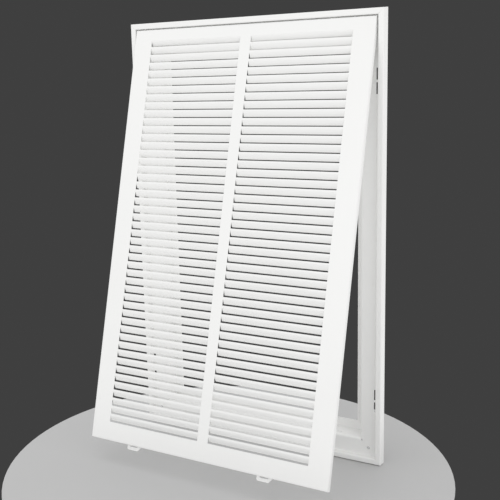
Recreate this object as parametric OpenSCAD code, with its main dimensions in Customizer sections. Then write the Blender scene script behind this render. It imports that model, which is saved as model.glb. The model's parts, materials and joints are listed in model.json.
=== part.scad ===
// Return air filter grille: a roll-formed wall frame with a louvred door that is hinged along the top.
// Millimetres. X is across, Z is up, the front faces -Y and the wall is the plane Y = 0.

/* [Wall opening] */
// Width of the hole in the wall
opening_w = 355.6; // [250:1:600]
// Height of the hole in the wall
opening_h = 609.6; // [400:1:800]
// Gap between the neck and the hole, on each side
neck_gap = 1.4; // [0.5:0.1:4]

/* [Frame] */
// Width of the frame's face, from its outer edge to the neck
frame_face_w = 35.2; // [33:0.1:50]
// How far the frame stands out from the wall
frame_d = 14; // [12:0.5:20]
// Thickness of the frame's sheet
frame_t = 0.7; // [0.5:0.1:1.2]
// Width of the raised rim
rim_w = 9.5; // [7:0.5:14]
// Outward flare of the outer return, at the wall
flare = 0.6; // [0.4:0.1:1]
// Length of the flared part of the outer return
flare_d = 6; // [4:0.5:8]
// Depth of the channel that the door closes into
channel_d = 9; // [8:0.5:11]
// Length of the neck behind the wall's face
neck_d = 25; // [15:1:40]
// Width of the lip that the filter rests against
lip_w = 15; // [6:0.5:20]
// Bend radius of the rim, at the middle of the sheet
rim_bend_r = 1.5; // [1:0.1:2.5]
// Bend radius between the channel and the neck
neck_bend_r = 3; // [1.5:0.1:4]
// Gap between two members at a mitre
mitre_gap = 0.1; // [0.05:0.05:0.3]

/* [Frame holes] */
// Distance of each slot pair from the frame's corner
slot_inset = 100; // [70:1:110]
// Length of each slot
slot_len = 16.5; // [12:0.5:20]
// Width of the slots
slot_w = 4.8; // [3:0.1:6]
// Bridge between the two slots of a pair
slot_bridge = 3.5; // [2.5:0.5:6]
// Diameter of the screw holes in the corner keys
screw_hole_dia = 4.8; // [3.5:0.1:6]
// Distance of the screw holes from the frame's outer edges
screw_inset = 22.5; // [20:0.5:24]
// Diameter of the relief hole at the inner end of each mitre
relief_dia = 3.5; // [2:0.1:4]
// Distance of the neck's keyhole slots from the frame's corner
neck_slot_inset = 73; // [60:1:90]
// Length of the neck's slots
neck_slot_len = 8; // [4:0.5:14]
// Width of the neck's slots
neck_slot_w = 1.6; // [1:0.1:3]

/* [Corner keys] */
// Thickness of the corner keys
key_t = 1; // [0.8:0.1:1.5]
// Length of each arm of a corner key, from the frame's outer edge
key_arm = 62; // [45:1:80]
// Width of each arm
key_w = 18; // [14:0.5:20]

/* [Door] */
// Thickness of the door's sheet
door_t = 0.6; // [0.5:0.1:1]
// Gap between the door and the rim
door_gap = 2; // [1.6:0.1:3]
// Depth of the door's folded edges
door_d = 7.6; // [7:0.1:8]
// Bend radius of the door's edges, at the middle of the sheet
door_bend_r = 1.3; // [0.8:0.1:1.6]
// How far the door stands open
open_angle = 16; // [5:1:60]

/* [Louvres] */
// Distance from one louvre to the next
louvre_pitch = 12.7; // [10:0.1:20]
// Height of each louvre's opening in the face
louvre_h = 9.7; // [7:0.1:10]
// Height of the air gap below each blade
air_gap = 2; // [1:0.1:3]
// How far each blade reaches back from the face
blade_d = 4.5; // [2.5:0.1:6]
// Bend radius at the top of each blade, at the middle of the sheet
blade_bend_r = 3; // [0.8:0.1:4]
// Cut between a blade's ends and the face
lance_gap = 0.3; // [0.2:0.05:0.6]
// Plain margin above the first louvre
top_margin = 18.5; // [16:0.5:30]
// Least plain margin below the last louvre
bottom_margin = 28; // [26:0.5:40]
// Plain margin beside the louvres
side_margin = 32.1; // [20:0.5:50]
// Plain band between the two columns
centre_band = 17.7; // [10:0.5:40]

/* [Hinges] */
// Diameter of the hinge pins
pin_dia = 2.4; // [2:0.1:3]
// How far a pin's heads stand out past its shank
pin_head_edge = 0.6; // [0.4:0.1:0.8]
// Running gap around the pins
pin_gap = 0.08; // [0.05:0.01:0.1]
// Thickness of the hinge strips
hinge_t = 0.8; // [0.6:0.1:1]
// Width of the middle knuckle
knuckle_w = 12; // [8:0.5:14]
// Width of each outer knuckle
leaf_knuckle_w = 9; // [6:0.5:12]
// Gap between the knuckles and the door's top edge
knuckle_top_gap = 0.5; // [0.4:0.1:1]
// Side gap between knuckles
knuckle_gap = 0.4; // [0.3:0.1:0.8]
// Height of the hinge leaf on the back of the door
leaf_h = 13; // [10:0.5:15]
// Side gap of the bracket's prongs in their slots
prong_gap = 1; // [0.3:0.1:2]
// Gap between the door's notches and the slot pairs
notch_gap = 2; // [1:0.5:3]
// Height of the hinge bracket on the channel's floor
bracket_h = 14; // [10:0.5:16]

/* [Latches] */
// Width of a latch clip's nose
nose_w = 28.5; // [20:0.5:32]
// How far a nose reaches past the door's edge
nose_h = 7.2; // [5:0.1:7.4]
// Length of a nose's flat end
nose_flat = 17; // [8:0.5:18]
// Thickness of the clips' bent bar
clip_t = 2.2; // [1.5:0.1:2.4]
// Width of the bar
clip_strip_w = 3.2; // [2.5:0.1:4]
// Length of each foot of a clip
clip_foot = 5.6; // [4:0.1:8]
// Gap round the noses in their windows
window_gap = 0.4; // [0.3:0.1:0.8]
// Sideways offset of the noses from the slot pairs
nose_offset = -6; // [-8:0.5:8]
// Travel of the noses
clip_travel = 6.2; // [4:0.1:6.4]
// Thickness of the leaf springs
spring_t = 0.4; // [0.3:0.1:0.6]
// Width of the leaf springs
spring_w = 2.6; // [2:0.1:3]
// Gap between a spring and what it bears on
spring_gap = 0.15; // [0.1:0.05:0.3]
// Width of the latch guides, along the door's depth
guide_w = 5; // [4:0.1:5.4]
// Thickness of the latch guides
guide_t = 0.7; // [0.5:0.1:1]
// Diameter of the rivet shanks
rivet_dia = 2.4; // [2:0.1:3]
// Diameter of the rivet heads
rivet_head_dia = 4.4; // [3.5:0.1:4.8]
// Height of the rivet heads
rivet_head_h = 0.8; // [0.5:0.1:1.2]
// Edge of a guide's foot beside a rivet head
rivet_edge = 0.6; // [0.3:0.1:1]

/* [Hidden] */
$fn = 48;
bend_steps = 8;
blade_steps = 4;
spring_steps = 12;
eps = 0.01;
fit_gap = 0.3;

// Frame: every member has one section, in (depth, distance from the outer edge)
neck_w = opening_w - 2 * neck_gap;
neck_h = opening_h - 2 * neck_gap;
outer_w = neck_w + 2 * frame_face_w;
outer_h = neck_h + 2 * frame_face_w;
rim_y = -frame_d;
floor_y = rim_y + channel_d;
neck_mid = frame_face_w + frame_t / 2;
section_w = frame_face_w + frame_t + lip_w;
frame_path = [
    [frame_t, frame_t / 2 - flare * frame_t / flare_d],
    [-flare_d, flare + frame_t / 2],
    [rim_y + frame_t / 2, flare + frame_t / 2],
    [rim_y + frame_t / 2, rim_w - frame_t / 2],
    [floor_y + frame_t / 2, rim_w - frame_t / 2],
    [floor_y + frame_t / 2, neck_mid],
    [neck_d - frame_t / 2, neck_mid],
    [neck_d - frame_t / 2, section_w]
];
frame_radii = [0, 3, rim_bend_r, rim_bend_r, rim_bend_r, neck_bend_r, rim_bend_r, 0];
pair_len = 2 * slot_len + slot_bridge;

// Door, in its closed place
door_w = outer_w - 2 * (rim_w + door_gap);
door_h = outer_h - 2 * (rim_w + door_gap);
face_y = rim_y;
face_back_y = face_y + door_t;
door_bottom = -door_h / 2;
slot_row_w = (door_w - 2 * side_margin - centre_band) / 2;
louvre_x = (centre_band + slot_row_w) / 2;
louvre_rows = floor((door_h - top_margin - bottom_margin - louvre_h) / louvre_pitch) + 1;
blade_h = louvre_h - air_gap;
door_edge_path = [
    [face_y + door_d, door_t / 2],
    [face_y + door_t / 2, door_t / 2],
    [face_y + door_t / 2, door_t / 2 + 2 * door_bend_r]
];

// Hinges: the knuckles lie behind the door's face, just under its top edge
knuckle_ir = pin_dia / 2 + pin_gap;
knuckle_r = knuckle_ir + hinge_t;
hinge_y = face_back_y + fit_gap + knuckle_r;
hinge_z = door_h / 2 - door_t - knuckle_top_gap - knuckle_r;
pair_x = outer_w / 2 - slot_inset;
hinge_w = knuckle_w + 2 * (knuckle_gap + leaf_knuckle_w);
pin_head_r = pin_dia / 2 + pin_head_edge;
slot_edge_z = outer_h / 2 - rim_w - slot_w;
prong_w = slot_len - 2 * prong_gap;
bracket_w = pair_len - 2 * prong_gap;
notch_w = pair_len + 2 * notch_gap;

// Latches: heights are measured up from the door's bottom edge
clip_y = face_y + door_d - guide_w / 2 - fit_gap;
foot_mid = door_t + fit_gap + clip_t / 2;
clip_bend_r = 1.6;
nose_left = -nose_w / 2 + clip_t / 2;
clip_path = [
    [nose_left - clip_foot, foot_mid],
    [nose_left, foot_mid],
    [nose_left, -nose_h + clip_t / 2],
    [nose_left + nose_flat, -nose_h + clip_t / 2],
    [-nose_left - clip_t, foot_mid],
    [-nose_left + clip_foot, foot_mid]
];
clip_radii = [0, clip_bend_r, clip_bend_r, clip_bend_r, clip_bend_r, 0];
window_w = nose_w + 2 * window_gap;
window_d = clip_strip_w + 2 * window_gap;
clip_half = -nose_left + clip_foot;
foot_top = foot_mid + clip_t / 2;
spring_half = clip_half - spring_t;
spring_top = foot_top + clip_travel + fit_gap - spring_gap - spring_t / 2;
spring_bow_r = 30;
spring_path = [
    [-spring_half, foot_top + spring_gap + spring_t],
    [0, spring_top],
    [spring_half, foot_top + spring_gap + spring_t]
];
guide_h = 2 * fit_gap + clip_t + clip_travel + guide_t;
guide_end_gap = 0.5;
guide_half = clip_half + guide_end_gap + guide_t / 2;
guide_bend_r = 1;
guide_foot = rivet_head_dia + rivet_edge + guide_bend_r;
guide_path = [
    [-guide_half - guide_foot, door_t + guide_t / 2],
    [-guide_half, door_t + guide_t / 2],
    [-guide_half, door_t + guide_h - guide_t / 2],
    [guide_half, door_t + guide_h - guide_t / 2],
    [guide_half, door_t + guide_t / 2],
    [guide_half + guide_foot, door_t + guide_t / 2]
];
guide_radii = [0, guide_bend_r, guide_bend_r, guide_bend_r, guide_bend_r, 0];
rivet_x = guide_half + (guide_foot + guide_bend_r) / 2;
rivet_gap = 0.05;

function unit(v) = v / norm(v);
function side(v) = [-v[1], v[0]];
function cross2(a, b) = a[0] * b[1] - a[1] * b[0];
function turn(points, i) =
    let (a = unit(points[i] - points[i - 1]), b = unit(points[i + 1] - points[i]))
    atan2(cross2(a, b), a * b);

// The points of one round bend at corner i, on a line that lies off to the left of the path
function bend_points(points, r, i, off, steps) =
    let (
        a = unit(points[i] - points[i - 1]),
        angle = turn(points, i),
        hand = sign(angle),
        centre = points[i] - a * r * tan(abs(angle) / 2) + side(a) * hand * r,
        out = -side(a) * hand,
        start = atan2(out[1], out[0])
    )
    [for (k = [0:steps]) centre + (r - hand * off)
        * [cos(start + angle * k / steps), sin(start + angle * k / steps)]];

// The line that lies off to the left of a path with round bends, from end to end
function strip_side(points, radii, off, steps) =
    let (last = len(points) - 1)
    [
        points[0] + side(unit(points[1] - points[0])) * off,
        for (i = [1:last - 1]) each bend_points(points, radii[i], i, off, steps),
        points[last] + side(unit(points[last] - points[last - 1])) * off
    ];

// The outline of a bent strip of thickness t, as one closed loop
function strip_outline(points, radii, t, steps) =
    let (
        left = strip_side(points, radii, t / 2, steps),
        right = strip_side(points, radii, -t / 2, steps)
    )
    concat(left, [for (k = [len(right) - 1:-1:0]) right[k]]);

// A bent sheet seen end on
module bent_sheet(points, radii, t, steps = bend_steps) {
    polygon(strip_outline(points, radii, t, steps));
}

// Turns a section in (depth, height) into a bar along X
module along_x(length) {
    rotate([90, 0, 90]) {
        linear_extrude(height = length, center = true) {
            children();
        }
    }
}

// Turns an outline in (X, height) into a slab from y0 to y1
module along_y(y0, y1) {
    translate([0, y1, 0]) {
        rotate([90, 0, 0]) {
            linear_extrude(height = y1 - y0) {
                children();
            }
        }
    }
}

// Turns the closed door to the angle at which it stands open
module opened() {
    translate([0, hinge_y, hinge_z]) {
        rotate([-open_angle, 0, 0]) {
            translate([0, -hinge_y, -hinge_z]) {
                children();
            }
        }
    }
}

module frame_section() {
    difference() {
        bent_sheet(frame_path, frame_radii, frame_t);
        translate([0, -rim_w / 2]) {
            square([2 * frame_t, rim_w]);
        }
    }
}

// The shape that a mitred bar of the given length keeps, from the outer edge inwards
module mitre_outline(length, width, gap) {
    half = length / 2 - gap * sqrt(2) / 2;
    polygon([[-half, 0], [half, 0], [half - width, width], [-half + width, width]]);
}

// A pair of slots at the foot of the rim, with the bridge between them
module slot_pair() {
    for (s = [-1, 1]) {
        translate([s * (slot_bridge + slot_len) / 2 - slot_len / 2, floor_y - eps, rim_w]) {
            cube([slot_len, frame_t + 2 * eps, slot_w]);
        }
    }
}

// The window in the rim's wall that a latch nose springs into
module nose_window() {
    translate([nose_offset - window_w / 2, clip_y - window_d / 2, rim_w - 2 * frame_t]) {
        cube([window_w, window_d, 3 * frame_t]);
    }
}

module member_holes(length) {
    for (s = [-1, 1]) {
        translate([s * (length / 2 - screw_inset), floor_y - 1, screw_inset]) {
            rotate([-90, 0, 0]) {
                cylinder(d = screw_hole_dia + 0.4, h = frame_t + 2);
            }
        }
        translate([s * (length / 2 - frame_face_w + relief_dia / 2), floor_y - 1,
                frame_face_w - relief_dia / 2]) {
            rotate([-90, 0, 0]) {
                cylinder(d = relief_dia, h = frame_t + 2);
            }
        }
        translate([s * (length / 2 - neck_slot_inset) - neck_slot_len / 2,
                rim_y + 2 * channel_d, frame_face_w - 1]) {
            cube([neck_slot_len, neck_slot_w, frame_t + 2]);
        }
    }
}

// One member as it lies along the bottom, with its outer edge on Z = 0
module member(length, latches = false) {
    difference() {
        intersection() {
            along_x(length) {
                frame_section();
            }
            along_y(rim_y - 1, neck_d + 1) {
                mitre_outline(length, section_w + 1, mitre_gap);
            }
        }
        member_holes(length);
        for (s = [-1, 1]) {
            translate([s * (length / 2 - slot_inset), 0, 0]) {
                if (latches) {
                    nose_window();
                } else {
                    slot_pair();
                }
            }
        }
    }
}

module frame_bottom() {
    color("white") {
        translate([0, 0, -outer_h / 2]) {
            member(outer_w, latches = true);
        }
    }
}

module frame_top() {
    color("white") {
        rotate([0, 180, 0]) {
            translate([0, 0, -outer_h / 2]) {
                member(outer_w);
            }
        }
    }
}

module frame_left() {
    color("whitesmoke") {
        rotate([0, 90, 0]) {
            translate([0, 0, -outer_w / 2]) {
                member(outer_h);
            }
        }
    }
}

module frame_right() {
    color("whitesmoke") {
        rotate([0, -90, 0]) {
            translate([0, 0, -outer_w / 2]) {
                member(outer_h);
            }
        }
    }
}

// A flat angle behind a mitre, which ties two members and takes the screw
module corner_key(sx, sz) {
    near = (rim_w + frame_face_w - key_w) / 2;
    far = near + key_w;
    color("silver") {
        along_y(floor_y + frame_t, floor_y + frame_t + key_t) {
            translate([sx * outer_w / 2, sz * outer_h / 2]) {
                difference() {
                    polygon([
                        [-sx * near, -sz * near],
                        [-sx * key_arm, -sz * near],
                        [-sx * key_arm, -sz * far],
                        [-sx * far, -sz * far],
                        [-sx * far, -sz * key_arm],
                        [-sx * near, -sz * key_arm]
                    ]);
                    translate([-sx * screw_inset, -sz * screw_inset]) {
                        circle(d = screw_hole_dia);
                    }
                }
            }
        }
    }
}

module corner_key_top_left() {
    corner_key(-1, 1);
}

module corner_key_top_right() {
    corner_key(1, 1);
}

module corner_key_bottom_left() {
    corner_key(-1, -1);
}

module corner_key_bottom_right() {
    corner_key(1, -1);
}

// One folded edge of the door, mitred at both ends, as it lies along the bottom
module door_edge(length) {
    intersection() {
        along_x(length) {
            bent_sheet(door_edge_path, [0, door_bend_r, 0], door_t);
        }
        along_y(face_y - 1, face_y + door_d + 1) {
            mitre_outline(length, 3 * door_bend_r, 0);
        }
    }
}

// The door's flat face with the openings of both louvre columns
module door_face_outline() {
    inset = door_t / 2 + door_bend_r;
    difference() {
        square([door_w - 2 * inset, door_h - 2 * inset], center = true);
        for (s = [-1, 1], row = [0:louvre_rows - 1]) {
            translate([s * louvre_x - slot_row_w / 2,
                    door_h / 2 - top_margin - louvre_h - row * louvre_pitch]) {
                square([slot_row_w, louvre_h]);
            }
        }
    }
}

// The blades of one column, seen end on: each bends out of the face and slopes down and back
module blade_sections() {
    drop = blade_bend_r * tan(atan2(blade_d - door_t, blade_h) / 2);
    for (row = [0:louvre_rows - 1]) {
        top = door_h / 2 - top_margin - row * louvre_pitch;
        blade_path = [
            [face_y + door_t / 2, top + door_t],
            [face_y + door_t / 2, top - drop],
            [face_y + blade_d - door_t / 2, top - blade_h]
        ];
        bent_sheet(blade_path, [0, blade_bend_r, 0], door_t, blade_steps);
    }
}

module door_panel() {
    color("gainsboro") {
        opened() {
            difference() {
                union() {
                    along_y(face_y, face_back_y) {
                        door_face_outline();
                    }
                    for (s = [-1, 1]) {
                        translate([s * louvre_x, 0, 0]) {
                            along_x(slot_row_w - 2 * lance_gap) {
                                blade_sections();
                            }
                        }
                    }
                    translate([0, 0, -door_h / 2]) {
                        door_edge(door_w);
                    }
                    rotate([0, 180, 0]) {
                        translate([0, 0, -door_h / 2]) {
                            door_edge(door_w);
                        }
                    }
                    for (a = [-90, 90]) {
                        rotate([0, a, 0]) {
                            translate([0, 0, -door_w / 2]) {
                                door_edge(door_h);
                            }
                        }
                    }
                }
                door_cuts();
            }
        }
    }
}

// Notches round the hinge brackets, windows for the latch noses and holes for the rivets
module door_cuts() {
    for (s = [-1, 1]) {
        translate([s * pair_x - notch_w / 2, face_back_y + door_bend_r + 0.6, door_h / 2 - 2]) {
            cube([notch_w, door_d, 4]);
        }
        translate([s * pair_x + nose_offset, clip_y, door_bottom]) {
            translate([-window_w / 2, -window_d / 2, -1]) {
                cube([window_w, window_d, door_t + 2]);
            }
            for (r = [-1, 1]) {
                translate([r * rivet_x, 0, -1]) {
                    cylinder(d = rivet_dia + 2 * rivet_gap, h = door_t + 2);
                }
            }
        }
    }
}

// A round knuckle along X, centred on x, ready for the pin
module knuckle(x, width) {
    translate([x - width / 2, hinge_y, hinge_z]) {
        rotate([0, 90, 0]) {
            difference() {
                cylinder(r = knuckle_r, h = width);
                translate([0, 0, -1]) {
                    cylinder(r = knuckle_ir, h = width + 2);
                }
            }
        }
    }
}

// The bracket that hooks through a slot pair of the top member and carries the middle knuckle
module hinge_bracket(s) {
    base_top = hinge_z - knuckle_r + hinge_t;
    hook_z = slot_edge_z + 0.1;
    color("lightsteelblue") {
        translate([s * pair_x, 0, 0]) {
            knuckle(0, knuckle_w);
            difference() {
                translate([-knuckle_w / 2, hinge_y, base_top - hinge_t]) {
                    cube([knuckle_w, floor_y - hinge_y, hinge_t]);
                }
                translate([-knuckle_w / 2 - 1, hinge_y, hinge_z]) {
                    rotate([0, 90, 0]) {
                        cylinder(r = knuckle_ir, h = knuckle_w + 2);
                    }
                }
            }
            translate([-bracket_w / 2, floor_y - hinge_t, base_top - bracket_h]) {
                cube([bracket_w, hinge_t, bracket_h]);
            }
            for (p = [-1, 1]) {
                hinge_prong(p, base_top, hook_z);
            }
        }
    }
}

// A prong of the bracket: up from the plate, back through its slot and down behind the floor
module hinge_prong(p, base_top, hook_z) {
    behind = floor_y + frame_t + 0.1;
    translate([p * (slot_bridge + slot_len) / 2 - prong_w / 2, 0, 0]) {
        translate([0, floor_y - hinge_t, base_top - 1]) {
            cube([prong_w, hinge_t, hook_z + hinge_t - base_top + 1]);
        }
        translate([0, floor_y - hinge_t, hook_z]) {
            cube([prong_w, behind + 2 * hinge_t - floor_y, hinge_t]);
        }
        translate([0, behind, hook_z - 3]) {
            cube([prong_w, hinge_t, 3 + hinge_t]);
        }
    }
}

module hinge_bracket_left() {
    hinge_bracket(-1);
}

module hinge_bracket_right() {
    hinge_bracket(1);
}

// The leaf on the back of the door's face, with the two outer knuckles
module hinge_leaf(s) {
    outer_x = knuckle_w / 2 + knuckle_gap + leaf_knuckle_w / 2;
    leaf_top = hinge_z - knuckle_r - fit_gap;
    color("slategray") {
        opened() {
            translate([s * pair_x, 0, 0]) {
                for (k = [-1, 1]) {
                    knuckle(k * outer_x, leaf_knuckle_w);
                    difference() {
                        translate([k * outer_x - leaf_knuckle_w / 2, face_back_y,
                                leaf_top - 1]) {
                            cube([leaf_knuckle_w, hinge_t, hinge_z - leaf_top + 1]);
                        }
                        translate([k * outer_x - leaf_knuckle_w / 2 - 1, hinge_y, hinge_z]) {
                            rotate([0, 90, 0]) {
                                cylinder(r = knuckle_ir, h = leaf_knuckle_w + 2);
                            }
                        }
                    }
                }
                translate([-hinge_w / 2, face_back_y, leaf_top - leaf_h + knuckle_r]) {
                    cube([hinge_w, hinge_t, leaf_h - knuckle_r]);
                }
            }
        }
    }
}

module hinge_leaf_left() {
    hinge_leaf(-1);
}

module hinge_leaf_right() {
    hinge_leaf(1);
}

// A pin with a small head at each end
module hinge_pin(s) {
    head = rivet_head_h;
    half = hinge_w / 2 + fit_gap;
    color("dimgray") {
        translate([s * pair_x, hinge_y, hinge_z]) {
            rotate([0, 90, 0]) {
                rotate_extrude() {
                    polygon([
                        [0, -half - head],
                        [pin_head_r - 0.3, -half - head],
                        [pin_head_r, -half - head + 0.3],
                        [pin_head_r, -half],
                        [pin_dia / 2, -half],
                        [pin_dia / 2, half],
                        [pin_head_r, half],
                        [pin_head_r, half + head - 0.3],
                        [pin_head_r - 0.3, half + head],
                        [0, half + head]
                    ]);
                }
            }
        }
    }
}

module hinge_pin_left() {
    hinge_pin(-1);
}

module hinge_pin_right() {
    hinge_pin(1);
}

// Places a latch piece, drawn about the middle of its nose, on the door's bottom edge
module at_latch(s) {
    opened() {
        translate([s * pair_x + nose_offset, 0, door_bottom]) {
            children();
        }
    }
}

// The bent bar whose nose springs into the rim
module latch_clip(s) {
    color("ghostwhite") {
        at_latch(s) {
            along_y(clip_y - clip_strip_w / 2, clip_y + clip_strip_w / 2) {
                bent_sheet(clip_path, clip_radii, clip_t);
            }
        }
    }
}

module latch_clip_left() {
    latch_clip(-1);
}

module latch_clip_right() {
    latch_clip(1);
}

// The bowed leaf that presses a clip's feet down
module latch_spring(s) {
    color("darkgray") {
        at_latch(s) {
            along_y(clip_y - spring_w / 2, clip_y + spring_w / 2) {
                bent_sheet(spring_path, [0, spring_bow_r, 0], spring_t, spring_steps);
            }
        }
    }
}

module latch_spring_left() {
    latch_spring(-1);
}

module latch_spring_right() {
    latch_spring(1);
}

// The bridge over a clip's feet, riveted to the door's bottom edge
module latch_guide(s) {
    color("lightgray") {
        at_latch(s) {
            difference() {
                along_y(clip_y - guide_w / 2, clip_y + guide_w / 2) {
                    bent_sheet(guide_path, guide_radii, guide_t);
                }
                for (r = [-1, 1]) {
                    translate([r * rivet_x, clip_y, door_t - 1]) {
                        cylinder(d = rivet_dia + 2 * rivet_gap, h = guide_t + 2);
                    }
                }
            }
        }
    }
}

module latch_guide_left() {
    latch_guide(-1);
}

module latch_guide_right() {
    latch_guide(1);
}

// A rivet with a low round head on both sides of the joint
module rivet() {
    head_r = rivet_head_dia / 2;
    grip = door_t + guide_t;
    rotate_extrude() {
        polygon([
            [0, -rivet_head_h],
            [head_r - 0.6, -rivet_head_h],
            [head_r, -0.2],
            [head_r, 0],
            [rivet_dia / 2, 0],
            [rivet_dia / 2, grip],
            [head_r, grip],
            [head_r, grip + 0.2],
            [head_r - 0.6, grip + rivet_head_h],
            [0, grip + rivet_head_h]
        ]);
    }
}

module latch_rivets() {
    color("gray") {
        for (s = [-1, 1], r = [-1, 1]) {
            at_latch(s) {
                translate([r * rivet_x, clip_y, 0]) {
                    rivet();
                }
            }
        }
    }
}

frame_top();
frame_bottom();
frame_left();
frame_right();
corner_key_top_left();
corner_key_top_right();
corner_key_bottom_left();
corner_key_bottom_right();
door_panel();
hinge_bracket_left();
hinge_bracket_right();
hinge_leaf_left();
hinge_leaf_right();
hinge_pin_left();
hinge_pin_right();
latch_clip_left();
latch_clip_right();
latch_spring_left();
latch_spring_right();
latch_guide_left();
latch_guide_right();
latch_rivets();
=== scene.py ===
"""Looks of a white return air filter grille: finishes, louvred door, floor, light and camera.

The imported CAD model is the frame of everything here. Millimetre sizes below repeat the part's own,
the front faces -Y, the wall is the plane Y = 0, and the door stands open about its hinge line.
"""
from __future__ import annotations

import json
import logging
import math
from dataclasses import dataclass
from enum import Enum

import bmesh
import bpy
from mathutils import Euler, Matrix, Vector

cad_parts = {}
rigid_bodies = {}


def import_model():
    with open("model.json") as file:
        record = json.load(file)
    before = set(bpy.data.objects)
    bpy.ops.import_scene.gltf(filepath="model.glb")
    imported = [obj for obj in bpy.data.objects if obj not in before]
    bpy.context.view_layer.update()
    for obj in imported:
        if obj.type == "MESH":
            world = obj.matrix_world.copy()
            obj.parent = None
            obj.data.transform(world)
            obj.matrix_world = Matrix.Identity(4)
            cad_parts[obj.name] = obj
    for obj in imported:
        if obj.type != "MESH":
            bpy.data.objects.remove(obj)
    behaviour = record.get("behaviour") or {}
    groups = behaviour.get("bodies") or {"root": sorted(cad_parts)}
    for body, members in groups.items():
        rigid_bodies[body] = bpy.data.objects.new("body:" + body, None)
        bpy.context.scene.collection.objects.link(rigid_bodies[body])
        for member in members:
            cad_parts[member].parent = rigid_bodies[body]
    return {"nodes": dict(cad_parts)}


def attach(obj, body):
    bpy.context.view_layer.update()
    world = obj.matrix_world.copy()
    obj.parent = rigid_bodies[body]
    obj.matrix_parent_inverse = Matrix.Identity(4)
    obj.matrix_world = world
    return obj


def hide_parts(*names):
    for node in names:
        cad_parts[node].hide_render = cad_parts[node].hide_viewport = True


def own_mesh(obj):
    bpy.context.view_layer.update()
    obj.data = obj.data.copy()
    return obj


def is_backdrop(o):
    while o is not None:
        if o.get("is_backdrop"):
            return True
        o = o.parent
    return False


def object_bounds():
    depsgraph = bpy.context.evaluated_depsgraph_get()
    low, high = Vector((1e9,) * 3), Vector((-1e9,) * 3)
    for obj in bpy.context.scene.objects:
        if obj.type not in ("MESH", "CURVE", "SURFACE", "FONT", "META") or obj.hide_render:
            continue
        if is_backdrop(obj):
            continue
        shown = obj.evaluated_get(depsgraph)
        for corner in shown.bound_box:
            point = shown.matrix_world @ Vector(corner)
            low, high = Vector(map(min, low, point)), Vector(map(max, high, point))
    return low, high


MM = 0.001
SHARP_ANGLE = math.radians(35)
Colour = tuple[float, float, float]
LOG = logging.getLogger("grille")


class Side(Enum):
    """The two halves of the grille, with the sign of X on each."""

    LEFT = -1
    RIGHT = 1

    @property
    def word(self) -> str:
        """The side's name as the nodes use it."""
        return self.name.lower()


class Plating(Enum):
    """Bare metals on the hidden hardware: base colour, roughness and how metallic each looks."""

    ZINC = ((0.60, 0.61, 0.62), 0.38, 0.95)
    STEEL = ((0.48, 0.48, 0.49), 0.30, 1.0)
    ALUMINIUM = ((0.72, 0.72, 0.73), 0.34, 1.0)


def link(tree: bpy.types.NodeTree, source: bpy.types.NodeSocket,
         target: bpy.types.NodeSocket) -> None:
    """Joins two sockets of a node tree.

    Args:
        tree: The tree that holds both nodes.
        source: The output socket.
        target: The input socket.
    """
    tree.links.new(source, target)


class GrainGroup:
    """Shader group for a sprayed or plated skin: fine bumps, and a slow drift of tone and gloss."""

    NAME = "skin_grain"
    FINE_DETAIL = 3.0
    SLOW_DETAIL = 2.0
    ROUGHNESS_DRIFT = 0.10

    @classmethod
    def get(cls) -> bpy.types.ShaderNodeTree:
        """Builds the group once.

        Returns:
            The node group with inputs Grain Size, Drift Size, Base Roughness, Tone and Dark Tone,
            and outputs Color, Roughness and Height.
        """
        if cls.NAME in bpy.data.node_groups:
            return bpy.data.node_groups[cls.NAME]
        tree = bpy.data.node_groups.new(cls.NAME, "ShaderNodeTree")
        cls._sockets(tree)
        start = tree.nodes.new("NodeGroupInput")
        end = tree.nodes.new("NodeGroupOutput")
        place = tree.nodes.new("ShaderNodeTexCoord")
        fine = cls._noise(tree, place, start.outputs["Grain Size"], cls.FINE_DETAIL)
        slow = cls._noise(tree, place, start.outputs["Drift Size"], cls.SLOW_DETAIL)
        tone = tree.nodes.new("ShaderNodeMix")
        tone.data_type = "RGBA"
        link(tree, slow.outputs["Fac"], tone.inputs["Factor"])
        link(tree, start.outputs["Dark Tone"], tone.inputs["A"])
        link(tree, start.outputs["Tone"], tone.inputs["B"])
        rough = tree.nodes.new("ShaderNodeMath")
        rough.operation = "MULTIPLY_ADD"
        link(tree, slow.outputs["Fac"], rough.inputs[0])
        rough.inputs[1].default_value = cls.ROUGHNESS_DRIFT
        link(tree, start.outputs["Base Roughness"], rough.inputs[2])
        link(tree, tone.outputs["Result"], end.inputs["Color"])
        link(tree, rough.outputs[0], end.inputs["Roughness"])
        link(tree, fine.outputs["Fac"], end.inputs["Height"])
        return tree

    @staticmethod
    def _sockets(tree: bpy.types.ShaderNodeTree) -> None:
        """Adds the group's named inputs and outputs.

        Args:
            tree: The group's tree.
        """
        face = tree.interface
        for name in ("Grain Size", "Drift Size", "Base Roughness"):
            face.new_socket(name, in_out="INPUT", socket_type="NodeSocketFloat")
        for name in ("Tone", "Dark Tone"):
            face.new_socket(name, in_out="INPUT", socket_type="NodeSocketColor")
        face.new_socket("Color", in_out="OUTPUT", socket_type="NodeSocketColor")
        face.new_socket("Roughness", in_out="OUTPUT", socket_type="NodeSocketFloat")
        face.new_socket("Height", in_out="OUTPUT", socket_type="NodeSocketFloat")

    @staticmethod
    def _noise(tree: bpy.types.ShaderNodeTree, place: bpy.types.Node,
               scale: bpy.types.NodeSocket, detail: float) -> bpy.types.Node:
        """Adds one noise texture on object coordinates.

        Args:
            tree: The group's tree.
            place: The texture coordinate node.
            scale: The socket that gives the noise's scale.
            detail: Octaves of the noise.

        Returns:
            The noise node.
        """
        noise = tree.nodes.new("ShaderNodeTexNoise")
        noise.inputs["Detail"].default_value = detail
        link(tree, place.outputs["Object"], noise.inputs["Vector"])
        link(tree, scale, noise.inputs["Scale"])
        return noise


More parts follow.
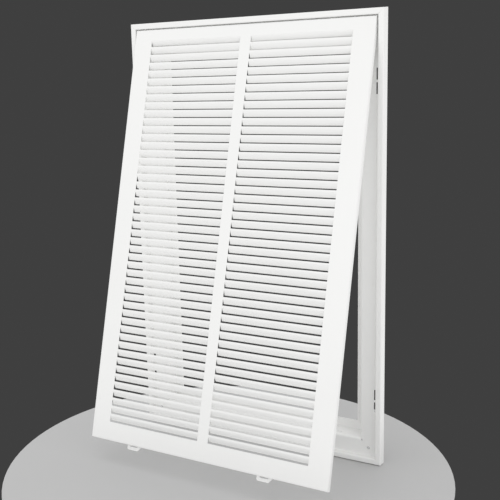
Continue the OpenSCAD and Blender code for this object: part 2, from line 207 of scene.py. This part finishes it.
@dataclass(frozen=True)
class SkinFinish:
    """A finish made of the grain group and one Principled shader."""

    name: str
    tone: Colour
    dark_tone: Colour
    roughness: float
    metallic: float = 0.0
    grain_per_m: float = 900.0
    drift_per_m: float = 9.0
    bump: float = 0.10
    bump_mm: float = 0.05
    coat: float = 0.0
    coat_roughness: float = 0.25

    def make(self) -> bpy.types.Material:
        """Builds the material.

        Returns:
            The material, with the group feeding colour, roughness and bump.
        """
        material = bpy.data.materials.new(self.name)
        material.use_nodes = True
        tree = material.node_tree
        shader = tree.nodes["Principled BSDF"]
        grain = tree.nodes.new("ShaderNodeGroup")
        grain.node_tree = GrainGroup.get()
        grain.inputs["Grain Size"].default_value = self.grain_per_m
        grain.inputs["Drift Size"].default_value = self.drift_per_m
        grain.inputs["Base Roughness"].default_value = self.roughness
        grain.inputs["Tone"].default_value = (*self.tone, 1.0)
        grain.inputs["Dark Tone"].default_value = (*self.dark_tone, 1.0)
        bump = tree.nodes.new("ShaderNodeBump")
        bump.inputs["Strength"].default_value = self.bump
        bump.inputs["Distance"].default_value = self.bump_mm * MM
        link(tree, grain.outputs["Height"], bump.inputs["Height"])
        link(tree, grain.outputs["Color"], shader.inputs["Base Color"])
        link(tree, grain.outputs["Roughness"], shader.inputs["Roughness"])
        link(tree, bump.outputs["Normal"], shader.inputs["Normal"])
        shader.inputs["Metallic"].default_value = self.metallic
        shader.inputs["Coat Weight"].default_value = self.coat
        shader.inputs["Coat Roughness"].default_value = self.coat_roughness
        return material


def darker(tone: Colour, share: float) -> Colour:
    """The same colour with each of its parts taken down to a share."""
    red, green, blue = (share * part for part in tone)
    return red, green, blue


def enamel(name: str) -> SkinFinish:
    """The satin white powder coat of all the painted sheet metal.

    Args:
        name: The material's name.

    Returns:
        The finish.
    """
    white = (0.90, 0.90, 0.89)
    return SkinFinish(name, white, darker(white, 0.965), roughness=0.36, coat=0.15)


def plated(name: str, plating: Plating) -> SkinFinish:
    """A bare or plated metal finish.

    Args:
        name: The material's name.
        plating: Which metal shows.

    Returns:
        The finish.
    """
    tone, roughness, metallic = plating.value
    return SkinFinish(name, tone, darker(tone, 0.82), roughness=roughness, metallic=metallic,
                      grain_per_m=500.0, drift_per_m=160.0, bump=0.15)


class LouvreTree:
    """Geometry Nodes tree that adds two columns of curved blades to the sheet that it is given."""

    NAME = "louvre_bank"
    FLOATS = ("Pitch", "Column Spacing", "Blade Width", "Blade Height", "Blade Depth",
              "Bend Length", "Sheet", "Top", "Face")
    COLUMNS = 2
    BLADE_STEPS = 7

    def __init__(self) -> None:
        """Makes the empty tree with its named inputs."""
        self.tree = bpy.data.node_groups.new(self.NAME, "GeometryNodeTree")
        face = self.tree.interface
        face.new_socket("Geometry", in_out="INPUT", socket_type="NodeSocketGeometry")
        kinds = {"Rows": "NodeSocketInt"}
        kinds.update(dict.fromkeys(self.FLOATS, "NodeSocketFloat"))
        kinds["Enamel"] = "NodeSocketMaterial"
        self.ids: dict[str, str] = {}
        for name, kind in kinds.items():
            socket = face.new_socket(name, in_out="INPUT", socket_type=kind)
            self.ids[name] = socket.identifier
        face.new_socket("Geometry", in_out="OUTPUT", socket_type="NodeSocketGeometry")
        self.start = self.tree.nodes.new("NodeGroupInput")
        self._build()

    def _node(self, kind: str) -> bpy.types.Node:
        """Adds a node of the given type."""
        return self.tree.nodes.new(kind)

    def _vector(self, x: str = "", y: str = "", z: str = "",
                flip_z: bool = False) -> bpy.types.NodeSocket:
        """Adds a vector made of named inputs.

        Args:
            x: The input that gives X, or nothing for zero.
            y: The input that gives Y, or nothing for zero.
            z: The input that gives Z, or nothing for zero.
            flip_z: Whether Z points down.

        Returns:
            The vector's socket.
        """
        join = self._node("ShaderNodeCombineXYZ")
        for axis, name in (("X", x), ("Y", y), ("Z", z)):
            if name:
                link(self.tree, self.start.outputs[name], join.inputs[axis])
        if not flip_z:
            return join.outputs[0]
        flip = self._node("ShaderNodeVectorMath")
        flip.operation = "MULTIPLY"
        flip.inputs[1].default_value = (1.0, 1.0, -1.0)
        link(self.tree, join.outputs[0], flip.inputs[0])
        return flip.outputs[0]

    def _blade(self) -> bpy.types.Node:
        """Adds one blade: a flat strip swept down a curve that leaves the face and slopes back.

        Returns:
            The node that puts the blade's mesh out.
        """
        path = self._node("GeometryNodeCurveQuadraticBezier")
        path.inputs["Resolution"].default_value = self.BLADE_STEPS
        path.inputs["Start"].default_value = (0.0, 0.0, 0.0)
        link(self.tree, self._vector(z="Bend Length", flip_z=True), path.inputs["Middle"])
        foot = self._vector(y="Blade Depth", z="Blade Height", flip_z=True)
        link(self.tree, foot, path.inputs["End"])
        upright = self._node("GeometryNodeSetCurveNormal")
        upright.mode = "Z_UP"
        link(self.tree, path.outputs[0], upright.inputs["Curve"])
        strip = self._node("GeometryNodeCurvePrimitiveQuadrilateral")
        link(self.tree, self.start.outputs["Blade Width"], strip.inputs["Width"])
        link(self.tree, self.start.outputs["Sheet"], strip.inputs["Height"])
        sweep = self._node("GeometryNodeCurveToMesh")
        sweep.inputs["Fill Caps"].default_value = True
        link(self.tree, upright.outputs[0], sweep.inputs["Curve"])
        link(self.tree, strip.outputs[0], sweep.inputs["Profile Curve"])
        return sweep

    def _row(self, count: bpy.types.NodeSocket | int, offset: bpy.types.NodeSocket,
             what: bpy.types.Node) -> bpy.types.Node:
        """Repeats a geometry in even steps.

        Args:
            count: How many, as a socket or a number.
            offset: The step.
            what: The node that puts the geometry out.

        Returns:
            The node that puts the instances out.
        """
        line = self._node("GeometryNodeMeshLine")
        if isinstance(count, int):
            line.inputs["Count"].default_value = count
        else:
            link(self.tree, count, line.inputs["Count"])
        link(self.tree, offset, line.inputs["Offset"])
        copies = self._node("GeometryNodeInstanceOnPoints")
        link(self.tree, line.outputs[0], copies.inputs["Points"])
        link(self.tree, what.outputs[0], copies.inputs["Instance"])
        return copies

    def _build(self) -> None:
        """Joins blades and sheet, makes them real and gives them their finish."""
        step = self._vector(z="Pitch", flip_z=True)
        column = self._row(self.start.outputs["Rows"], step, self._blade())
        bank = self._row(self.COLUMNS, self._vector(x="Column Spacing"), column)
        half = self._node("ShaderNodeVectorMath")
        half.operation = "MULTIPLY_ADD"
        half.inputs[1].default_value = (-0.5, 0.0, 0.0)
        link(self.tree, self._vector(x="Column Spacing"), half.inputs[0])
        link(self.tree, self._vector(y="Face", z="Top"), half.inputs[2])
        place = self._node("GeometryNodeTransform")
        link(self.tree, bank.outputs[0], place.inputs["Geometry"])
        link(self.tree, half.outputs[0], place.inputs["Translation"])
        join = self._node("GeometryNodeJoinGeometry")
        link(self.tree, self.start.outputs["Geometry"], join.inputs[0])
        link(self.tree, place.outputs[0], join.inputs[0])
        real = self._node("GeometryNodeRealizeInstances")
        link(self.tree, join.outputs[0], real.inputs[0])
        dress = self._node("GeometryNodeSetMaterial")
        link(self.tree, real.outputs[0], dress.inputs["Geometry"])
        link(self.tree, self.start.outputs["Enamel"], dress.inputs["Material"])
        end = self._node("NodeGroupOutput")
        link(self.tree, dress.outputs[0], end.inputs[0])


@dataclass
class LouvredDoor:
    """The door as one stamped sheet: folded edges, two columns of openings, a curved blade in each.

    All sizes are millimetres in the closed door's place. The finished mesh is turned to where the
    door stands.
    """

    width: float = 400.2
    height: float = 654.2
    face_y: float = -14.0
    sheet: float = 0.6
    bend_r: float = 1.3
    depth: float = 7.6
    pitch: float = 12.7
    rows: int = 48
    opening_h: float = 9.7
    air_gap: float = 2.4
    blade_depth: float = 4.5
    bend_length: float = 1.5
    lance_gap: float = 0.3
    top_margin: float = 18.5
    side_margin: float = 32.1
    centre_band: float = 17.7
    pair_x: float = 111.6
    notch_w: float = 40.5
    notch_y: float = -11.5
    window_w: float = 29.3
    window_x: float = -6.0
    window_y: tuple[float, float] = (-11.2, -7.2)
    hinge: tuple[float, float] = (-11.02, 323.92)
    open_deg: float = 16.0
    bend_steps: int = 6

    @property
    def column_w(self) -> float:
        """Width of one column of openings."""
        return (self.width - 2 * self.side_margin - self.centre_band) / 2

    @property
    def column_x(self) -> float:
        """Distance of a column's middle from the door's middle."""
        return (self.centre_band + self.column_w) / 2

    @property
    def mid_y(self) -> float:
        """Depth of the middle of the face's sheet."""
        return self.face_y + self.sheet / 2

    @property
    def inset(self) -> float:
        """How far the flat face ends inside the door's edge."""
        return self.sheet / 2 + self.bend_r

    def build(self, finish: SkinFinish) -> bpy.types.Object:
        """Makes the whole door.

        Args:
            finish: The door's enamel.

        Returns:
            The finished piece, riding on the door and standing for its panel.
        """
        blank = bpy.data.objects.new("door_blank", self._sheet_mesh())
        bpy.context.collection.objects.link(blank)
        wall = blank.modifiers.new("wall", "SOLIDIFY")
        wall.thickness = self.sheet * MM
        wall.offset = 0.0
        wall.use_even_offset = True
        bank = LouvreTree()
        louvres = blank.modifiers.new("louvres", "NODES")
        louvres.node_group = bank.tree
        for name, value in self._inputs(finish.make()).items():
            louvres[bank.ids[name]] = value
        bpy.context.view_layer.update()
        ready = blank.evaluated_get(bpy.context.evaluated_depsgraph_get())
        mesh = bpy.data.meshes.new_from_object(ready)
        bpy.data.objects.remove(blank)
        return self._finished(mesh)

    def swing(self) -> Matrix:
        """The turn from the closed door's place to where the door stands.

        Returns:
            The matrix, about the hinge line.
        """
        pivot = Vector((0.0, *self.hinge)) * MM
        turn = Matrix.Rotation(-math.radians(self.open_deg), 4, "X")
        return Matrix.Translation(pivot) @ turn @ Matrix.Translation(-pivot)

    def _inputs(self, material: bpy.types.Material) -> dict[str, object]:
        """The tree's inputs, in metres.

        Args:
            material: The door's material.

        Returns:
            A value for each named input.
        """
        return {
            "Rows": self.rows,
            "Pitch": self.pitch * MM,
            "Column Spacing": 2 * self.column_x * MM,
            "Blade Width": (self.column_w - 2 * self.lance_gap) * MM,
            "Blade Height": (self.opening_h - self.air_gap) * MM,
            "Blade Depth": (self.blade_depth - self.sheet) * MM,
            "Bend Length": self.bend_length * MM,
            "Sheet": self.sheet * MM,
            "Top": (self.height / 2 - self.top_margin) * MM,
            "Face": self.mid_y * MM,
            "Enamel": material,
        }

    def _finished(self, mesh: bpy.types.Mesh) -> bpy.types.Object:
        """Turns the mesh to the open door's place, puts the piece on the door and hides the CAD
        panel.

        Args:
            mesh: The closed door's mesh.

        Returns:
            The piece.
        """
        mesh.transform(self.swing())
        shell = bmesh.new()
        shell.from_mesh(mesh)
        bmesh.ops.recalc_face_normals(shell, faces=shell.faces)
        shell.to_mesh(mesh)
        shell.free()
        mesh.shade_smooth()
        mesh.set_sharp_from_angle(angle=SHARP_ANGLE)
        mesh.name = "door_skin"
        piece = bpy.data.objects.new("door_skin", mesh)
        bpy.context.collection.objects.link(piece)
        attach(piece, "door")
        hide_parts("door_panel")
        LOG.info("made %s with %d faces", piece.name, len(mesh.polygons))
        return piece

    def _x_lines(self) -> list[float]:
        """Where the sheet has edges across its width.

        Returns:
            The X of each, from left to right.
        """
        half = self.width / 2 - self.inset
        lines = {-half, half}
        for s in Side:
            for e in (-1, 1):
                lines.add(s.value * self.column_x + e * self.column_w / 2)
                lines.add(s.value * self.pair_x + e * self.notch_w / 2)
                lines.add(s.value * self.pair_x + self.window_x + e * self.window_w / 2)
        return sorted(lines)

    def _z_lines(self) -> list[float]:
        """Where the sheet has edges up its height.

        Returns:
            The Z of each, from the bottom.
        """
        half = self.height / 2 - self.inset
        lines = {-half, half}
        for row in range(self.rows):
            top = self.height / 2 - self.top_margin - row * self.pitch
            lines.update((top, top - self.opening_h))
        return sorted(lines)

    def _is_opening(self, x: float, z: float) -> bool:
        """Finds the louvres' openings.

        Args:
            x: The point's place across the face.
            z: Its height.

        Returns:
            Whether the point lies in an opening.
        """
        down = self.height / 2 - self.top_margin - z
        in_row = 0 < down < self.rows * self.pitch and down % self.pitch < self.opening_h
        return in_row and abs(abs(x) - self.column_x) < self.column_w / 2

    def _is_cut(self, x: float, y: float, z: float) -> bool:
        """Finds the hinge notches and the latch windows.

        Args:
            x: The place across the door of a point of the folded edge.
            y: Its depth.
            z: Its height.

        Returns:
            Whether the point lies in a notch or a window.
        """
        for s in Side:
            if z > 0 and y > self.notch_y and abs(x - s.value * self.pair_x) < self.notch_w / 2:
                return True
            in_window = abs(x - s.value * self.pair_x - self.window_x) < self.window_w / 2
            if z < 0 and in_window and self.window_y[0] < y < self.window_y[1]:
                return True
        return False

    def _rings(self) -> list[tuple[float, float]]:
        """The folded edge as rings, from the face outwards and back.

        Returns:
            Each ring's distance inside the door's edge, and its depth.
        """
        turns = [math.pi / 2 * k / self.bend_steps for k in range(1, self.bend_steps + 1)]
        arc = [
            (self.inset - self.bend_r * math.sin(a), self.mid_y + self.bend_r * (1 - math.cos(a)))
            for a in turns
        ]
        depths = [self.notch_y, *self.window_y, self.face_y + self.depth]
        return arc + [(self.sheet / 2, y) for y in depths]

    def _flat_face(self, form: bmesh.types.BMesh, xs: list[float],
                   zs: list[float]) -> dict[tuple[int, int], bmesh.types.BMVert]:
        """Makes the flat face with its openings.

        Args:
            form: The mesh to add to.
            xs: The lines across.
            zs: The lines up.

        Returns:
            Each corner by the numbers of its two lines.
        """
        grid = {
            (i, k): form.verts.new(Vector((x, self.mid_y, z)) * MM)
            for i, x in enumerate(xs) for k, z in enumerate(zs)
        }
        for i, k in ((i, k) for i in range(len(xs) - 1) for k in range(len(zs) - 1)):
            if not self._is_opening((xs[i] + xs[i + 1]) / 2, (zs[k] + zs[k + 1]) / 2):
                form.faces.new([grid[i, k], grid[i + 1, k], grid[i + 1, k + 1], grid[i, k + 1]])
        return grid

    @staticmethod
    def _edge_walk(last_x: int, last_z: int) -> list[tuple[int, int]]:
        """Walks once round the face's edge.

        Args:
            last_x: The number of the last line across.
            last_z: The number of the last line up.

        Returns:
            The corners on the way, by the numbers of their lines.
        """
        walk = [(i, 0) for i in range(last_x)] + [(last_x, k) for k in range(last_z)]
        walk += [(i, last_z) for i in range(last_x, 0, -1)]
        return walk + [(0, k) for k in range(last_z, 0, -1)]

    def _join_rings(self, form: bmesh.types.BMesh, inner: list[bmesh.types.BMVert],
                    outer: list[bmesh.types.BMVert]) -> None:
        """Closes the band between two rings, but for the notches and windows.

        Args:
            form: The mesh to add to.
            inner: The ring nearer to the face.
            outer: The next ring.
        """
        for n, corner in enumerate(inner):
            ahead = (n + 1) % len(inner)
            spot = (corner.co + inner[ahead].co + outer[n].co + outer[ahead].co) / (4 * MM)
            on_end = abs(spot.z) > self.height / 2 - self.inset - self.sheet
            if not (on_end and self._is_cut(*spot)):
                form.faces.new([corner, outer[n], outer[ahead], inner[ahead]])

    def _sheet_mesh(self) -> bpy.types.Mesh:
        """Makes the middle surface of the sheet, with its openings and folded edges.

        Returns:
            The mesh, in metres.
        """
        xs, zs = self._x_lines(), self._z_lines()
        form = bmesh.new()
        grid = self._flat_face(form, xs, zs)
        last_x, last_z = len(xs) - 1, len(zs) - 1
        walk = self._edge_walk(last_x, last_z)
        ring = [grid[spot] for spot in walk]
        for inside, depth in self._rings():
            half_w, half_h = self.width / 2 - inside, self.height / 2 - inside
            outer = []
            for i, k in walk:
                x = xs[i] if 0 < i < last_x else math.copysign(half_w, xs[i])
                z = zs[k] if 0 < k < last_z else math.copysign(half_h, zs[k])
                outer.append(form.verts.new(Vector((x, depth, z)) * MM))
            self._join_rings(form, ring, outer)
            ring = outer
        loose = [corner for corner in form.verts if not corner.link_faces]
        bmesh.ops.delete(form, geom=loose, context="VERTS")
        mesh = bpy.data.meshes.new("door_blank")
        form.to_mesh(mesh)
        form.free()
        return mesh


@dataclass
class Latches:
    """What moves at a latch: the bowed leaf that flattens as its nose goes in, and the nose's lip.

    Sizes are millimetres. A nose is drawn about its middle on the closed door's bottom edge, as
    (across, up).
    """

    nodes: dict[str, bpy.types.Object]
    door: LouvredDoor
    leaf_keep: float = 0.045
    weld: float = 0.001
    roof_up: float = 9.6
    clip_y: float = -9.2
    lip_depth: float = 3.0
    lip_edge: float = 0.3
    lip_edge_steps: int = 2
    lip: tuple[tuple[float, float], ...] = (
        (-12.05, -0.3), (-12.05, -5.0), (3.35, -5.0), (7.45, -0.3),
        (4.6, -0.3), (2.6, -2.6), (-9.6, -2.6), (-9.6, -0.3),
    )

    def build(self, steel: SkinFinish, coat: SkinFinish) -> None:
        """Makes the leaves and the lips on both sides.

        Args:
            steel: The leaves' finish.
            coat: The lips' finish.
        """
        leaf_skin, lip_skin = steel.make(), coat.make()
        for side in Side:
            self._leaf(side, leaf_skin)
            self._lip(side, lip_skin)

    def _place(self, side: Side, x: float, y: float, up: float) -> Vector:
        """Where a point of a latch lies on the open door, in metres."""
        centre = side.value * self.door.pair_x + self.door.window_x
        return self.door.swing() @ (Vector((centre + x, y, up - self.door.height / 2)) * MM)

    def _add(self, name: str, mesh: bpy.types.Mesh, skin: bpy.types.Material) -> bpy.types.Object:
        """Adds a piece with its finish.

        Args:
            name: The piece's name.
            mesh: Its mesh, in place.
            skin: Its material.

        Returns:
            The piece.
        """
        mesh.materials.clear()
        mesh.materials.append(skin)
        mesh.name = name
        piece = bpy.data.objects.new(name, mesh)
        bpy.context.collection.objects.link(piece)
        LOG.info("made %s", name)
        return piece

    def _leaf(self, side: Side, skin: bpy.types.Material) -> None:
        """Makes the leaf spring, smoothed.

        Args:
            side: The latch's side.
            skin: The spring's material.
        """
        node = f"latch_spring_{side.word}"
        mesh = self.nodes[node].data.copy()
        form = bmesh.new()
        form.from_mesh(mesh)
        bmesh.ops.remove_doubles(form, verts=form.verts, dist=self.weld * MM)
        bmesh.ops.recalc_face_normals(form, faces=form.faces)
        form.to_mesh(mesh)
        form.free()
        mesh.shade_smooth()
        mesh.set_sharp_from_angle(angle=SHARP_ANGLE)
        piece = self._add(f"spring_leaf_{side.word}", mesh, skin)
        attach(piece, "door")
        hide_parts(node)
        roof = self._place(side, 0.0, self.clip_y, self.roof_up)
        up = self._place(side, 0.0, self.clip_y, self.roof_up + 1.0) - roof
        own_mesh(piece)

    def _lip(self, side: Side, skin: bpy.types.Material) -> None:
        """Makes the formed lip that thickens the nose on its inner side.

        Args:
            side: The latch's side.
            skin: The lip's material.
        """
        form = bmesh.new()
        front, back = (
            [form.verts.new(self._place(side, x, y, up)) for x, up in self.lip]
            for y in (self.clip_y - self.lip_depth / 2, self.clip_y + self.lip_depth / 2)
        )
        form.faces.new(front)
        form.faces.new(back[::-1])
        for n in range(len(front)):
            ahead = (n + 1) % len(front)
            form.faces.new([front[n], back[n], back[ahead], front[ahead]])
        bmesh.ops.recalc_face_normals(form, faces=form.faces)
        bmesh.ops.bevel(form, geom=form.edges[:], offset=self.lip_edge * MM,
                        segments=self.lip_edge_steps, affect="EDGES", profile=0.5)
        mesh = bpy.data.meshes.new("lip")
        form.to_mesh(mesh)
        form.free()
        piece = self._add(f"nose_lip_{side.word}", mesh, skin)
        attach(piece, f"clip_{side.word}")


@dataclass
class Hardware:
    """Dresses CAD nodes whose form is already right."""

    nodes: dict[str, bpy.types.Object]

    def dress(self, names: list[str], finish: SkinFinish) -> None:
        """Gives one finish to several nodes.

        Args:
            names: The nodes.
            finish: Their finish.
        """
        material = finish.make()
        for name in names:
            node = self.nodes[name]
            node.data.materials.clear()
            node.data.materials.append(material)
            LOG.info("dressed %s with %s", name, finish.name)


@dataclass(frozen=True)
class Lamp:
    """A square soft lamp: its name, its place and side in metres, and its power in watts."""

    name: str
    place: tuple[float, float, float]
    side: float
    watts: float

    def hang(self) -> None:
        """Adds the lamp, pointing at the grille."""
        place = Vector(self.place)
        data = bpy.data.lights.new(self.name, "AREA")
        data.shape = "SQUARE"
        data.size = self.side
        data.energy = self.watts
        lamp = bpy.data.objects.new(self.name, data)
        lamp.location = place
        lamp.rotation_euler = (-place).to_track_quat("-Z", "Y").to_euler()
        bpy.context.collection.objects.link(lamp)


@dataclass
class Studio:
    """Floor, light and camera. Places and sizes are metres where no name says otherwise."""

    floor_z: float
    floor_sides: int = 96
    floor_radius: float = 0.34
    floor_centre_y: float = -0.12
    floor_grey: float = 0.52
    sky_grey: float = 0.89
    backdrop_grey: float = 0.05
    camera_mm: tuple[float, float, float] = (620.2, -1210.1, 273.8)
    camera_turn: tuple[float, float, float] = (78.184, 2.256, 32.019)
    sensor_mm: float = 36.0
    lens_mm: float = 62.84
    shift: tuple[float, float] = (0.1487, -0.0081)
    lamps: tuple[Lamp, ...] = (
        Lamp("key", (-0.6, -2.8, 0.9), 1.6, 8.0),
        Lamp("side", (2.4, -0.9, 0.3), 2.0, 5.0),
        Lamp("top", (-0.4, -0.6, 2.3), 1.4, 3.5),
    )

    def build(self) -> None:
        """Makes everything that isn't part of the object."""
        self._floor()
        self._sky()
        for lamp in self.lamps:
            lamp.hang()
        self._camera()

    def _floor(self) -> None:
        """A plain pale round floor under the frame's lower edge."""
        disc = bmesh.new()
        centre = Matrix.Translation((0.0, self.floor_centre_y, self.floor_z))
        bmesh.ops.create_circle(disc, cap_ends=True, segments=self.floor_sides,
                                radius=self.floor_radius, matrix=centre)
        mesh = bpy.data.meshes.new("floor")
        disc.to_mesh(mesh)
        disc.free()
        floor = bpy.data.objects.new("floor", mesh)
        bpy.context.collection.objects.link(floor)
        tone = (self.floor_grey,) * 3
        finish = SkinFinish("floor_paint", tone, darker(tone, 0.985), roughness=0.75,
                            grain_per_m=120.0, drift_per_m=1.5)
        mesh.materials.append(finish.make())
        floor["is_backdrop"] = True

    def _sky(self) -> None:
        """An even pale world that lights the object, and a plain dark grey that the camera sees."""
        world = bpy.data.worlds.new("studio")
        bpy.context.scene.world = world
        world.use_nodes = True
        tree = world.node_tree
        shade = tree.nodes["Background"]
        shade.inputs["Strength"].default_value = 1.0
        rays = tree.nodes.new("ShaderNodeLightPath")
        choice = tree.nodes.new("ShaderNodeMix")
        choice.data_type = "RGBA"
        choice.inputs["A"].default_value = (self.sky_grey,) * 3 + (1.0,)
        choice.inputs["B"].default_value = (self.backdrop_grey,) * 3 + (1.0,)
        link(tree, rays.outputs["Is Camera Ray"], choice.inputs["Factor"])
        link(tree, choice.outputs["Result"], shade.inputs["Color"])

    def _camera(self) -> None:
        """The camera at the photograph's angle: from the right, and looking down a little."""
        data = bpy.data.cameras.new("camera")
        data.sensor_width = self.sensor_mm
        data.lens = self.lens_mm
        data.shift_x, data.shift_y = self.shift
        camera = bpy.data.objects.new("camera", data)
        camera.location = Vector(self.camera_mm) * MM
        camera.rotation_euler = Euler([math.radians(a) for a in self.camera_turn])
        bpy.context.collection.objects.link(camera)
        bpy.context.scene.camera = camera


def main() -> None:
    """Builds the grille's looks in order."""
    floor_gap = 0.2 * MM
    logging.basicConfig(level=logging.INFO, format="%(message)s")
    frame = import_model()
    cad_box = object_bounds()
    bpy.context.scene.view_settings.view_transform = "Standard"
    Studio(floor_z=cad_box[0].z - floor_gap).build()
    hardware = Hardware(frame["nodes"])
    members = [f"frame_{place}" for place in ("top", "bottom", "left", "right")]
    hardware.dress(members, enamel("frame_enamel"))
    door = LouvredDoor()
    door.build(enamel("door_enamel"))
    latches = Latches(frame["nodes"], door)
    latches.build(plated("spring_steel", Plating.STEEL), enamel("lip_enamel"))
    hardware.dress([f"latch_clip_{s.word}" for s in Side], enamel("clip_enamel"))
    corners = [f"corner_key_{end}_{s.word}" for end in ("top", "bottom") for s in Side]
    hardware.dress(corners, plated("key_zinc", Plating.ZINC))
    hinges = [f"hinge_{part}_{s.word}" for part in ("bracket", "leaf") for s in Side]
    hardware.dress(hinges, plated("hinge_zinc", Plating.ZINC))
    hardware.dress([f"hinge_pin_{s.word}" for s in Side], plated("pin_steel", Plating.STEEL))
    hardware.dress([f"latch_guide_{s.word}" for s in Side], plated("guide_zinc", Plating.ZINC))
    hardware.dress(["latch_rivets"], plated("rivet_aluminium", Plating.ALUMINIUM))


if __name__ == "__main__":
    main()
